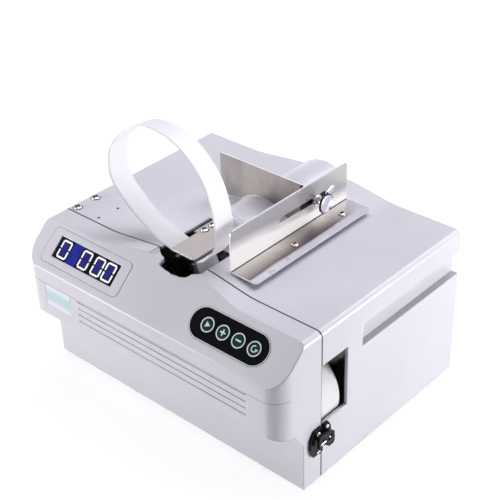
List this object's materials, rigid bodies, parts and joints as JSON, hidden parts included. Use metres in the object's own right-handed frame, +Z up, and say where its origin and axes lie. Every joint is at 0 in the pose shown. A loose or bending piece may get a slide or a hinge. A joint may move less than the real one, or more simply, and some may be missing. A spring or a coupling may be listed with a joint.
{
  "type": "banknote strapping machine",
  "caption": "Desktop strapping machine: box housing with a hinged front door, paper band over a steel tongue, note guide and rear stop, and tape roll inside.",
  "frame": {"origin": "middle of the machine's footprint, on the table under the rubber feet", "axes": "+X to the operator's right along the width, -Y towards the operator, +Z up"},
  "size_m": [0.3452, 0.2734, 0.2974],
  "materials": {
    "shell": "fine satin, cool light grey",
    "label_blank": "satin",
    "steel": "brushed",
    "chrome": "bright",
    "plated": "zinc plated",
    "black": "gloss",
    "black_matte": "matte",
    "lcd": "glossy window",
    "button": "membrane",
    "board": "solder mask",
    "paper": "smooth",
    "card": "plain",
    "rubber": "matte",
    "roller": "ground",
    "brass": "turned",
    "alu": "milled"
  },
  "bodies": {
    "case": {"housing": "shell", "base_plate": "plated", "feet": "rubber", "tongue_plate": "steel", "tongue_bridge": "plated", "tongue_screws": "chrome", "note_guide": "steel", "guide_screws": "chrome", "tape_loop": "paper", "tape_run": "paper", "roll_spindle": "alu", "roll_knob": "black", "frame_plate": "plated", "roller_studs": "alu", "feed_motor": "black_matte", "guide_rods": "steel", "press_motor": "black_matte", "power_supply": "alu", "main_board": "board", "board_parts": "black_matte", "power_inlet": "black_matte", "switch_bezel": "black_matte", "latch_plate": "black", "latch_screws": "chrome", "hinge_leaf_case": "plated", "hinge_pin": "steel", "cover_screws": "chrome"},
    "door": {"front_cover": "shell", "scoop_pan": "black_matte", "display_bezel": "shell", "display_glass": "lcd", "display_module": "board", "keypad_panel": "black", "keypad_board": "board", "front_label": "label_blank", "latch_catch": "black", "catch_screws": "chrome", "hinge_leaf_door": "plated"},
    "button_1": {"button_1": "button"},
    "button_2": {"button_2": "button"},
    "button_3": {"button_3": "button"},
    "button_4": {"button_4": "button"},
    "stop": {"rear_stop": "steel"},
    "wing": {"wing_nut": "chrome"},
    "hook": {"latch_hook": "black"},
    "roll": {"tape_roll": "paper", "roll_core": "card", "roll_hub": "black_matte"},
    "feed": {"feed_roller": "roller", "feed_shaft": "steel"},
    "arm": {"pinch_arm": "plated"},
    "pinch": {"pinch_roller": "roller"},
    "idler": {"idler_roller": "alu"},
    "press": {"press_carriage": "alu", "heater_block": "brass", "left_clamp": "steel", "right_clamp": "steel", "cutter_blade": "steel"},
    "cam": {"lift_cam": "steel"},
    "rocker": {"power_rocker": "black"}
  },
  "joints": [
    {"name": "door_hinge", "type": "hinge", "parent": "case", "child": "door", "pos_m": [-0.168, -0.07625, 0.086], "axis": [0, 0, -1], "range_deg": [0, 110]},
    {"name": "stop_slide", "type": "slide", "parent": "case", "child": "stop", "axis": [0, 1, 0], "range_m": [-0.048, 0.015]},
    {"name": "wing_turn", "type": "hinge", "parent": "stop", "child": "wing", "pos_m": [0.055, 0.0555, 0.19883], "axis": [1, 0, 0], "range_deg": [0, 180]},
    {"name": "hook_swing", "type": "hinge", "parent": "case", "child": "hook", "pos_m": [0.171, -0.0714, 0.054], "axis": [-1, 0, 0], "range_deg": [0, 95]},
    {"name": "roll_spin", "type": "hinge", "parent": "case", "child": "roll", "pos_m": [0.115, -0.056, 0.077], "axis": [0, 1, 0], "continuous": true},
    {"name": "feed_spin", "type": "hinge", "parent": "case", "child": "feed", "pos_m": [0.0424, -0.056, 0.1341], "axis": [0, 1, 0], "continuous": true},
    {"name": "pinch_swing", "type": "hinge", "parent": "case", "child": "arm", "pos_m": [0.031, -0.036, 0.09], "axis": [0, -1, 0], "range_deg": [0, 8], "stiffness_Nm_per_rad": 0.5, "springref_deg": -11.46},
    {"name": "pinch_spin", "type": "hinge", "parent": "arm", "child": "pinch", "pos_m": [0.0243, -0.056, 0.1261], "axis": [0, 1, 0], "continuous": true},
    {"name": "idler_spin", "type": "hinge", "parent": "case", "child": "idler", "pos_m": [0.0549, -0.056, 0.0981], "axis": [0, 1, 0], "continuous": true},
    {"name": "cam_turn", "type": "hinge", "parent": "case", "child": "cam", "pos_m": [-0.004, -0.022, 0.106], "axis": [0, -1, 0], "range_deg": [0, 180]},
    {"name": "press_lift", "type": "slide", "parent": "case", "child": "press", "axis": [0, 0, 1], "range_m": [0, 0.004]},
    {"name": "rocker_tilt", "type": "hinge", "parent": "case", "child": "rocker", "pos_m": [-0.0784, 0.134, 0.0499], "axis": [-1, 0, 0], "range_deg": [0, 14]},
    {"name": "press_button_1", "type": "slide", "parent": "door", "child": "button_1", "axis": [0, 0.6713, -0.7412], "range_m": [0, 0.0004], "stiffness_N_per_m": 900, "springref_m": -0.0004},
    {"name": "press_button_2", "type": "slide", "parent": "door", "child": "button_2", "axis": [0, 0.6713, -0.7412], "range_m": [0, 0.0004], "stiffness_N_per_m": 900, "springref_m": -0.0004},
    {"name": "press_button_3", "type": "slide", "parent": "door", "child": "button_3", "axis": [0, 0.6713, -0.7412], "range_m": [0, 0.0004], "stiffness_N_per_m": 900, "springref_m": -0.0004},
    {"name": "press_button_4", "type": "slide", "parent": "door", "child": "button_4", "axis": [0, 0.6713, -0.7412], "range_m": [0, 0.0004], "stiffness_N_per_m": 900, "springref_m": -0.0004}
  ],
  "couplings": [
    {"joint": "pinch_spin", "follows": "feed_spin", "ratio": -1.375},
    {"joint": "cam_turn", "follows": "press_lift", "rad_per_m": 785.39}
  ]
}
